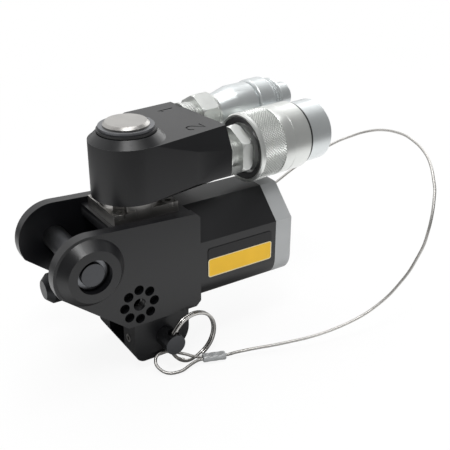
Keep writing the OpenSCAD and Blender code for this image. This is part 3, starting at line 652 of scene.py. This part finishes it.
class WRENCH_OT_lanyard(bpy.types.Operator):
    """Wire rope from the tag on the end cap to the crimp and the eye at the pull ring"""

    bl_idname = "wrench.lanyard"
    bl_label = "Lanyard"

    def execute(self, context):
        way, flank = CRIMP_WAY, CRIMP_SIDE
        # In millimetres: gap at the crimp, straight lengths beside it, half the distance between the strands
        gap, run_straight, eye_straight, strand = 0.35, 1.8, 1.4, 0.95
        run = [
            CRIMP_RUN + way * gap, CRIMP_RUN + way * run_straight,
            (66.9, -35.2, -58.8), (72.2, -37.7, -57.8),
            (77.9, -39.9, -57.3), (85, -42.6, -56.8), (93.5, -45.6, -56), (101.8, -48.5, -55),
            (112, -51.6, -53), (121.9, -54.4, -50), (130, -56.5, -46.6), (137.2, -58.3, -42),
            (142.3, -59.8, -37.4), (146.5, -61.2, -32), (150.4, -62.5, -26.2), (153.3, -63.5, -20),
            (156, -64.8, -12), (157.7, -65.1, -4), (159.6, -64.2, 0.8), (161.9, -62.5, 5),
            (164.4, -60.2, 8.8), (167.3, -57.3, 12), (170, -53.4, 15.3), (173.2, -48.8, 18),
            (177.3, -42.6, 20), (181.3, -35.7, 21), (184.8, -27.9, 21.8), (187.7, -19.7, 22),
            (190.9, -11.8, 21.3), (193.2, -3.7, 20), (194.3, 3.6, 18.7), (194.1, 10.8, 17),
            (192.9, 16.4, 15.1), (190.2, 21.6, 12.8), (186.2, 26.2, 9.9), (181, 30.1, 7),
            (173.3, 33.8, 2.6), (163, 35.6, -2), (151, 34.6, -6), (138, 30.8, -8.8),
            (127, 26.4, -9.9), (121.5, 24.5, -10), (117, 24.2, -10)]
        eye_start = CRIMP_EYE - way * gap + flank * strand
        eye_end = CRIMP_EYE - way * gap - flank * strand
        eye = [
            eye_start, eye_start - way * eye_straight + Vector((0, 0.1, 0.1)),
            (46.6, -27.3, -58), (44.5, -25.9, -57.1),
            (42.3, -24.4, -56.5), (39.4, -22.5, -55.8), (36.2, -21.3, -55.1), (33, -21.1, -54.8),
            (30.6, -21.6, -55.4), (29.2, -22.8, -56.4), (28.6, -25, -58.1), (30.2, -28.3, -60),
            (33.1, -30.9, -60.6), (38.2, -32.2, -60.3), (42.4, -31.5, -59.6), (46, -30.7, -59.3),
            eye_end - way * eye_straight, eye_end]
        sleeve = self.sleeve()
        fine = sizes().fine_edge
        tag = softened("anchor_tag", fine, "ground_steel", "ground_steel")
        screw = softened("anchor_screw", fine, "dark_steel", "dark_steel")
        self.rope("lanyard_run", mm(run)[::-1], [tag, screw, sleeve])
        self.rope("lanyard_eye", mm(eye), [sleeve])
        return {"FINISHED"}

    def sleeve(self):
        """Flat sleeve, pressed in at two places."""
        wide, high, corner = 4.7 * MM, 3.3 * MM, 0.42
        length = (CRIMP_RUN - CRIMP_EYE).length * MM
        # Share of the length, and the shares of the width and of the height there
        shape = ((0, 0.9, 0.86), (0.04, 1, 1), (0.2, 1, 1), (0.28, 1.05, 0.78), (0.36, 1.05, 0.78),
                 (0.44, 1, 1), (0.58, 1, 1), (0.66, 1.05, 0.78), (0.74, 1.05, 0.78), (0.82, 1, 1),
                 (0.96, 1, 1), (1, 0.9, 0.86))
        up = CRIMP_WAY.cross(CRIMP_SIDE)
        rings = [[CRIMP_EYE * MM + CRIMP_WAY * length * t + CRIMP_SIDE * s + up * u
                  for s, u in rounded(wide * broad, high * tall, high * tall * corner)]
                 for t, broad, tall in shape]
        made = new_piece("crimp_sleeve", skin(rings), "silver_anodised", smooth_angle=50)
        return declare(made, "silver_anodised", "retainer", "ferrule")

    def rope(self, name, points, fittings):
        thick = sizes().wire
        step = 0.7 * MM
        path = smooth_path(points, step)
        lobes, per_lobe, relief = 6, 3, 0.03
        section = []
        for k in range(lobes * per_lobe):
            angle = 2 * math.pi * k / (lobes * per_lobe)
            radius = thick / 2 * (1 - relief + relief * math.cos(lobes * angle))
            section.append((radius * math.cos(angle), radius * math.sin(angle)))
        twist = 2 * math.pi / sizes().lay_length
        made = new_piece(name, sweep(path, section, twist), "wire", smooth_angle=60)
        if name == "lanyard_run":
            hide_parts("lanyard")
            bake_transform(made)
        else:
            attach(made, "retainer")
        path_length(path)


# Slanted edges of the swivel block, beside the screw-on coupler. SLANT_PIVOT is the point along and across
# the block that they are turned about, and SLANT_ENDS is how far they run to both sides of it. Each has its
# height, its tilt and yaw in degrees, and how far down and up it cuts.
SLANT_PIVOT = (24.7 * MM, -19 * MM)
SLANT_ENDS = (-25 * MM, 30 * MM)
SLANTS = (
    (BLOCK_TOP - 7 * MM, -24, 5, -6 * MM, 30 * MM),
    (BLOCK_BOTTOM + 2.5 * MM, 20, 1.5, -20 * MM, 6 * MM),
    (BLOCK_BOTTOM + 3 * MM, 50, 5, -20 * MM, 0))


class WRENCH_OT_machined(bpy.types.Operator):
    """Housing, end cap, lug, stem and swivel block with broken edges, and the handle's thread"""

    bl_idname = "wrench.machined"
    bl_label = "Machined blocks"

    def execute(self, context):
        edge = sizes().edge
        # Reach of the places with finer edges: the handle's holes, a port number and the block's boss
        handle_reach, number_reach, boss_reach = 13 * MM, 8 * MM, 18.5 * MM
        handle = Vector(MOUNTS["handle_thread"]["pos_m"])
        softened("housing", edge, "black_anodised", "black_anodised", [(handle, handle_reach)])
        softened("end_cap", edge, "silver_anodised", "silver_anodised")
        softened("retainer_lug", edge, "black_anodised", "black_anodised")
        softened("swivel_stem", edge, "ground_steel", "ground_steel")
        cutter, spots = self.block_cuts()
        fine = [(spot, number_reach) for spot in spots]
        fine.append((PLACE_SWIVEL @ Vector((0, 0, BLOCK_TOP)), boss_reach))
        softened("swivel_block", edge, "black_anodised", "black_anodised", fine, cutter, share=0.1)
        self.handle_thread()
        return {"FINISHED"}

    def block_cuts(self):
        """Cutter of the port numbers and the slanted edges, and the places of the numbers."""
        tall = sizes().mark
        broad, deep = 0.85 * MM, 0.35 * MM
        section = [(-broad / 2, -deep), (broad / 2, -deep), (broad / 2, deep), (-broad / 2, deep)]
        bow = [(0.29 * math.cos(a), 0.71 + 0.29 * math.sin(a))
               for a in (math.radians(170 - 21 * k) for k in range(11))]
        # Place of a number along and across the block, and its stroke to the right and up in shares of its
        # height, as it is read from behind the rear end
        numbers = (
            (35.2 * MM, 21.2 * MM, [(-0.2, 0.76), (0.03, 1), (0.03, 0)]),
            (31.6 * MM, -7.8 * MM, bow + [(-0.3, 0.02), (0.32, 0.02)]))
        works, spots = [], []
        for u, v, stroke in numbers:
            spots.append(PLACE_SWIVEL @ Vector((u, v, BLOCK_TOP)))
            path = [PLACE_SWIVEL @ Vector((u + (0.5 - up) * tall, v + right * tall, BLOCK_TOP))
                    for right, up in stroke]
            works.append(sweep(path, section))
        works += [self.slant(*slant) for slant in SLANTS]
        return new_piece("block_cuts", joined(works), None), spots

    def slant(self, height, tilt, yaw, low, high):
        """Cutter of a slanted edge, right through the block's rear end."""
        turn = Matrix.Rotation(math.radians(yaw), 4, "Z") @ Matrix.Rotation(math.radians(tilt), 4, "X")
        place = PLACE_SWIVEL @ Matrix.Translation((*SLANT_PIVOT, height)) @ turn
        # A little deeper than the CAD's slanted faces, and well outside the block
        deeper, outside = 0.02 * MM, 20 * MM
        low, high = low - deeper, high + deeper
        outline = [(-outside, low), (deeper, low), (deeper, high), (-outside, high)]
        return skin([[place @ Vector((x, y, z)) for y, z in outline] for x in SLANT_ENDS])

    def handle_thread(self):
        mount = MOUNTS["handle_thread"]
        radius, length = mount["dims"]["r_mm"] * MM, mount["dims"]["length_mm"] * MM
        start, end = -length / 2 + 0.3 * MM, length / 2 - 0.4 * MM
        deep, pitch = 0.36 * MM, 0.9 * MM
        ridge = thread(start, end, radius, -deep, pitch)
        place = along(mount["pos_m"], mount["axis"])
        made = new_piece("handle_thread_ridge", ridge, "black_anodised", place)
        declare(made, "black_anodised", "frame")


class WRENCH_OT_collar(bpy.types.Operator):
    """Spinning collar of the screw-on coupler, with a knurled band, a black ring of painted shade in its mouth and
    a black end ring
    """

    bl_idname = "wrench.collar"
    bl_label = "Knurled collar"

    def execute(self, context):
        start, end, bore, outer = span("collar", PLACE_B)
        self.sleeve(start, end, bore, outer)
        self.black_rings(start, bore, outer)
        return {"FINISHED"}

    def sleeve(self, start, end, bore, outer):
        """The collar itself: bevelled mouth, rim, knurled band and a plain part with a fine groove."""
        size = sizes()
        band = start + 2 * MM
        band_end = band + size.knurl_length
        low = outer - size.knurl_height
        profile = [
            (start + 2.6 * MM, bore), (start + 0.3 * MM, outer - 1.7 * MM), (start, outer - 1.5 * MM),
            (start, outer - 0.8 * MM), (start + 0.6 * MM, outer - 0.2 * MM), (band, outer - 0.2 * MM),
            (band, low), (band_end, low), (band_end, outer - 0.1 * MM), (band_end + 0.3 * MM, outer),
            (band_end + 5.6 * MM, outer), (band_end + 5.75 * MM, outer - 0.12 * MM),
            (band_end + 5.95 * MM, outer - 0.12 * MM), (band_end + 6.1 * MM, outer),
            (end - 0.6 * MM, outer), (end, outer - 0.6 * MM), (end, bore)]
        made = new_piece("knurled_collar", lathe(profile), "nickel")
        sunk = 0.03 * MM
        values = {"Around": size.knurl_around, "Rows": size.knurl_rows, "Radius": low - sunk,
                  "Start": band, "Length": size.knurl_length, "Height": size.knurl_height,
                  "Finish": FINISHES["nickel"]}
        tree = self.knurl_tree()
        knurl = made.modifiers.new("knurl", "NODES")
        knurl.node_group = tree
        for item in tree.interface.items_tree:
            if item.in_out == "INPUT" and item.name in values:
                knurl[item.identifier] = values[item.name]
        plain_mesh(made)
        made.data.transform(PLACE_B)
        made.data.set_sharp_from_angle(angle=math.radians(30))
        declare(made, "zinc_steel", body_of("collar"), "collar")

    def black_rings(self, start, bore, outer):
        """Black ring of painted shade in the collar's mouth, for the dark inside of the sleeve, and the clip at
        its other end.
        """
        # Black ring lining the bevelled mouth: painted shade for the dark inside of the sleeve
        mouth_shade_outline = [(start + 2.2 * MM, bore + 0.1 * MM), (start + 0.25 * MM, outer - 1.9 * MM),
                 (start + 0.1 * MM, outer - 2.1 * MM), (start + 0.6 * MM, bore + 0.1 * MM)]
        ring = new_piece("collar_mouth_painted_shade", lathe(mouth_shade_outline), "washer_black", PLACE_B)
        declare(ring, "washer_black", body_of("collar"))
        first, last, inner, _ = span("collar_clip", PLACE_B)
        lip = [(first, inner), (first, outer - 0.7 * MM), (last - 0.2 * MM, outer - 0.7 * MM),
               (last, outer - 0.9 * MM), (last, inner)]
        ring = new_piece("collar_end_ring", lathe(lip), "washer_black", PLACE_B)
        declare(ring, "washer_black", body_of("collar_clip"), "collar_clip")

    def knurl_tree(self):
        """Rows of diamonds round the X axis, joined to the shape that comes in."""
        tree = bpy.data.node_groups.new("knurl", "GeometryNodeTree")
        tree.interface.new_socket("Geometry", in_out="OUTPUT", socket_type="NodeSocketGeometry")
        counts, lengths = ("Around", "Rows"), ("Radius", "Start", "Length", "Height")
        kinds = {"Geometry": "Geometry", **dict.fromkeys(counts, "Int"), **dict.fromkeys(lengths, "Float"),
                 "Finish": "Material"}
        for name, kind in kinds.items():
            tree.interface.new_socket(name, in_out="INPUT", socket_type="NodeSocket" + kind)
        work = Finish("knurl", tree)
        given = work.add("NodeGroupInput")
        around, rows, radius, start, length, height = (
            Value(work, given.outputs[name]) for name in counts + lengths)
        index = work.out("GeometryNodeInputIndex")
        row = (index / around).math("FLOOR", 0)
        column = index.math("MODULO", around)
        angle = 2 * math.pi * (column + 0.5 * row.math("MODULO", 2)) / around
        pitch = length / rows
        spot = work.out("ShaderNodeCombineXYZ", 0, None, {
            0: start + (row + 0.5) * pitch, 1: radius * angle.math("COSINE", 0),
            2: radius * angle.math("SINE", 0)})
        spots = work.out("GeometryNodePoints", 0, None, {"Count": around * rows, "Position": spot})
        diamond = work.out("GeometryNodeMeshCone", "Mesh", None, {
            "Vertices": 4, "Radius Top": pitch * 0.2, "Radius Bottom": pitch * 0.99, "Depth": height})
        lean = work.out("ShaderNodeCombineXYZ", 0, None, {0: angle - math.pi / 2})
        turn = work.out("FunctionNodeEulerToRotation", 0, None, {0: lean})
        band = work.out("GeometryNodeInstanceOnPoints", 0, None,
                        {"Points": spots, "Instance": diamond, "Rotation": turn})
        join = work.add("GeometryNodeJoinGeometry")
        for part in (given.outputs["Geometry"], band.socket):
            tree.links.new(part, join.inputs[0])
        real = work.out("GeometryNodeRealizeInstances", 0, None, {0: Value(work, join.outputs[0])})
        dressed = work.out("GeometryNodeSetMaterial", 0, None,
                           {"Geometry": real, "Material": Value(work, given.outputs["Finish"])})
        work.add("NodeGroupOutput", None, {0: dressed})
        return tree


# Threads of the couplers: name, frame, start and end from the swivel's axis, radius (all three in
# millimetres) and finish
THREADS = (
    ("nipple_thread", PLACE_A, 98.6, 104.8, 10.3, "blue_zinc"),
    ("neck_thread_a", PLACE_A, 46.3, 52.4, 7.5, "nickel"),
    ("body_thread_a", PLACE_A, 62.4, 65.2, 9.0, "nickel"),
    ("neck_thread_b", PLACE_B, 46.3, 50.4, 7.3, "nickel"))
THREAD_HEIGHT = 0.55 * MM


class WRENCH_OT_couplers(bpy.types.Operator):
    """Adapters, nipple, socket nose and washers, with their threads"""

    bl_idname = "wrench.couplers"
    bl_label = "Couplers"

    def execute(self, context):
        fine = sizes().fine_edge
        for node in ("adapter_a", "adapter_b", "port_washers"):
            softened(node, fine, "nickel", "zinc_steel")
        for node in ("nipple_body", "nipple_nose", "socket_nose"):
            softened(node, fine, "blue_zinc", "zinc_steel")
        pitch = sizes().thread_pitch
        for name, place, start, end, radius, finish in THREADS:
            first = (PLACE_SWIVEL.inverted() @ place.translation).x
            ridge = thread(start * MM - first, end * MM - first, radius * MM, THREAD_HEIGHT, pitch)
            declare(new_piece(name, ridge, finish, place), "zinc_steel", "manifold")
        return {"FINISHED"}


class WRENCH_OT_ring(bpy.types.Operator):
    """Split ring of two turns through the head of the retaining pin"""

    bl_idname = "wrench.ring"
    bl_label = "Pull ring"

    def execute(self, context):
        low, high = (Vector(corner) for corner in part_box("pull_ring"))
        middle = (low + high) / 2
        hole = JOINTS["ring_swing"]["pos_m"]
        # Section of the wire, and how far each turn lies from the middle plane
        thick, wide, corner, layer = 1.55 * MM, 1.2 * MM, 0.45 * MM, 0.66 * MM
        radius = (high.z - low.z) / 2 - thick / 2
        # Angle from the middle of the cross-over to its ends, and to the ends of the wire
        lift = 0.4
        steps = 150
        path = []
        for i in range(steps + 1):
            angle = lift + (4 * math.pi - 2 * lift) * i / steps
            t = min(1.0, max(0.0, (angle - 2 * math.pi + lift) / (2 * lift)))
            side = layer * (2 * t * t * (3 - 2 * t) - 1)
            path.append(Vector((radius * math.sin(angle), side, -radius * math.cos(angle))))
        section = rounded(wide, thick, corner, steps=3)
        turn = math.atan2(middle.y - hole[1], middle.x - hole[0])
        place = Matrix.Translation(middle) @ Matrix.Rotation(turn, 4, "Z")
        made = new_piece("split_ring", sweep(path, section), "bright_steel", place, smooth_angle=40)
        declare(made, "ground_steel", body_of("pull_ring"), "pull_ring")
        return {"FINISHED"}


class WRENCH_OT_plate(bpy.types.Operator):
    """Bare plate on the near side of the cylinder: a dark strip above a yellow field"""

    bl_idname = "wrench.plate"
    bl_label = "Bare plate"

    def execute(self, context):
        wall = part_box("end_cap")[0][1]
        thick = sizes().plate
        film, sunk = 0.03 * MM, 0.01 * MM
        # Name, finish, sides in X and Z and corner radius in millimetres, distance from the wall, thickness
        layers = (
            ("plate_back", "plate_black", (59.2, 95.6, -20.9, -5.7), 1.3, 0, thick),
            ("plate_border", "plate_pale", (59.2, 95.6, -20.9, -11.2), 1.3, thick, film),
            ("plate_field", "plate_yellow", (59.7, 95.1, -20.4, -11.6), 0.9, thick + film, film))
        for name, finish, (left, right, low, high), corner, back, deep in layers:
            outline = rounded((right - left) * MM, (high - low) * MM, corner * MM)
            middle = Vector(((left + right) / 2 * MM, wall, (low + high) / 2 * MM))
            rings = [[middle + Vector((x, -back - level, z)) for x, z in outline]
                     for level in (-sunk, deep)]
            made = new_piece(name, skin(rings), finish)
            declare(made, "washer_black", "frame")
        return {"FINISHED"}


class WRENCH_OT_fittings(bpy.types.Operator):
    """Screws, pins, seals and the inner pieces"""

    bl_idname = "wrench.fittings"
    bl_label = "Fittings"

    def execute(self, context):
        fine = sizes().fine_edge
        for node in ("cap_screws", "retaining_pin", "cross_pin", "lug_screws"):
            softened(node, fine, "dark_steel", "dark_steel")
        softened("piston_rod", fine, "black_oxide", "dark_steel")
        softened("stem_screws", fine, "ground_steel", "dark_steel")
        kept = {
            "dark_steel": ("passage_plugs", "piston_nut"),
            "spring_steel": ("cross_pin_clips", "stem_clip"),
            "ground_steel": ("detent_plunger", "nipple_poppet", "socket_poppet", "piston"),
            "nickel": ("socket_body",),
            "bronze": ("rod_gland",),
            "seal": ("cap_seal", "rod_seal", "stem_seals", "swivel_seals", "piston_seal"),
            "washer_black": ("thrust_washer",),
        }
        for finish, nodes in kept.items():
            for node in nodes:
                dress(frame["nodes"][node], finish)
        return {"FINISHED"}


# Lamps of the studio, with place and size in metres and power in watts, and the point that they light
LAMPS = (
    ("key", (0.24, -0.19, 0.95), (0.75, 0.22), 2.2),
    ("front", (-0.2, -0.39, 0.9), (0.22, 0.22), 3.0),
    ("fill", (0.8, 0.3, 0.33), (0.6, 0.6), 1.6),
    ("top", (0.1, 0.4, 0.85), (0.7, 0.5), 2.4))
LIT_POINT = Vector((0.06, 0, 0))


class WRENCH_OT_stage(bpy.types.Operator):
    """Camera, floor and soft studio light"""

    bl_idname = "wrench.stage"
    bl_label = "Stage"

    def execute(self, context):
        self.camera(context.scene)
        self.floor()
        self.light(context.scene)
        context.scene.view_settings.view_transform = "Standard"
        return {"FINISHED"}

    def camera(self, scene):
        view = scene.wrench_view
        target = Vector(view.target)
        flat = math.cos(view.elevation)
        back = Vector((-math.sin(view.azimuth) * flat, -math.cos(view.azimuth) * flat,
                       math.sin(view.elevation)))
        right = (-back).cross(Vector((0, 0, 1))).normalized()
        up = right.cross(-back)
        cos, sin = math.cos(view.roll), math.sin(view.roll)
        right, up = cos * right + sin * up, -sin * right + cos * up
        turn = Matrix((right, up, back)).transposed().to_4x4()
        data = bpy.data.cameras.new("photo_camera")
        data.sensor_width = 36
        data.lens = view.lens
        data.shift_x, data.shift_y = view.shift
        data.clip_start = 0.01
        camera = bpy.data.objects.new("photo_camera", data)
        camera.matrix_world = Matrix.Translation(target + back * view.distance) @ turn
        scene.collection.objects.link(camera)
        scene.camera = camera

    def floor(self):
        """White floor that takes some shadow near the part; in reflections it shows a painted shadow under the
        part and painted light round it.
        """
        low = CAD_BOX[0][2] - 0.2 * MM
        wide = 40.0
        work = bmesh.new()
        corners = [work.verts.new((x, y, low))
                   for x, y in ((-wide, -wide), (wide, -wide), (wide, wide), (-wide, wide))]
        work.faces.new(corners)
        finish = Finish("floor_white")
        plain, glossy = finish.rays()
        # Distance from a point under the part, with X shortened
        spot = finish.out("ShaderNodeMapping", 0, None,
                          {"Vector": finish.place(), "Location": (-0.027, 0, 0), "Scale": (0.6, 1, 0)})
        far = finish.out("ShaderNodeVectorMath", "Value", {"operation": "LENGTH"}, {0: spot})
        # For reflections only: a painted shadow under the part, painted light round it and painted dimming farther
        # away
        mirrored = finish.ramp(far, 0.03, 0.08, 0.12, 1.2) * finish.ramp(far, 0.11, 0.3, 1.0, 0.2)
        # The camera sees a share of plain white, all of it far away
        white = finish.ramp(far, 0.12, 0.5, 0.9, 1.0)
        pale = finish.out("ShaderNodeBsdfDiffuse", 0, None, {"Color": (0.85, 0.85, 0.85)})
        # Reflections see the glow at the painted strength above, the camera at full strength
        glow = finish.out("ShaderNodeEmission", 0, None,
                          {"Color": (1, 1, 1), "Strength": 1 - glossy + glossy * mirrored})
        lifted = finish.out("ShaderNodeMixShader", 0, None, {0: white * plain + glossy, 1: pale, 2: glow})
        finish.add("ShaderNodeOutputMaterial", None, {"Surface": lifted})
        FINISHES["floor_white"] = finish.material
        new_piece("floor", work, "floor_white")

    def light(self, scene):
        """White room, brighter behind the part in reflections, and the lamps."""
        world = bpy.data.worlds.new("studio")
        scene.world = world
        world.use_nodes = True
        finish = Finish("studio", world.node_tree)
        plain, glossy = finish.rays()
        heading = finish.out("ShaderNodeTexCoord", "Generated")
        way = finish.out("ShaderNodeSeparateXYZ", "Y", None, {0: heading})
        mirrored = finish.ramp(way, -0.1, 0.5, 0.24, 0.95)
        soft_light = 0.6
        strength = plain + (1 - plain) * (glossy * mirrored + (1 - glossy) * soft_light)
        shader = finish.out("ShaderNodeBackground", 0, None, {"Color": (1, 1, 1), "Strength": strength})
        finish.add("ShaderNodeOutputWorld", None, {"Surface": shader})
        for name, place, size, power in LAMPS:
            data = bpy.data.lights.new(name, "AREA")
            data.shape = "RECTANGLE"
            data.size, data.size_y = size
            data.energy = power
            lamp = bpy.data.objects.new(name, data)
            lamp.location = place
            aim = LIT_POINT - Vector(place)
            lamp.rotation_euler = aim.to_track_quat("-Z", "Y").to_euler()
            scene.collection.objects.link(lamp)


class WRENCH_PT_panel(bpy.types.Panel):
    """Sidebar panel with the sizes, colours, view and steps"""

    bl_idname = "WRENCH_PT_panel"
    bl_label = "Torque wrench"
    bl_space_type = "VIEW_3D"
    bl_region_type = "UI"
    bl_category = "Torque wrench"

    def draw(self, context):
        scene = context.scene
        for group in (scene.wrench_sizes, scene.wrench_colours, scene.wrench_view):
            box = self.layout.box()
            for key in group.__annotations__:
                box.prop(group, key)
        for step in STEPS:
            self.layout.operator(step.bl_idname)


STEPS = (WRENCH_OT_stage, WRENCH_OT_lanyard, WRENCH_OT_machined, WRENCH_OT_couplers, WRENCH_OT_collar,
         WRENCH_OT_ring, WRENCH_OT_plate, WRENCH_OT_fittings)
GROUPS = {"wrench_sizes": WrenchSizes, "wrench_colours": WrenchColours, "wrench_view": WrenchView}


def register():
    for kind in (*GROUPS.values(), *STEPS, WRENCH_PT_panel):
        bpy.utils.register_class(kind)
    for name, kind in GROUPS.items():
        setattr(bpy.types.Scene, name, PointerProperty(type=kind))


def unregister():
    for name in GROUPS:
        delattr(bpy.types.Scene, name)
    for kind in (WRENCH_PT_panel, *reversed(STEPS), *reversed(GROUPS.values())):
        bpy.utils.unregister_class(kind)


def main():
    register()
    make_finishes()
    for step in STEPS:
        group, name = step.bl_idname.split(".")
        getattr(getattr(bpy.ops, group), name)()


if __name__ == "__main__":
    main()
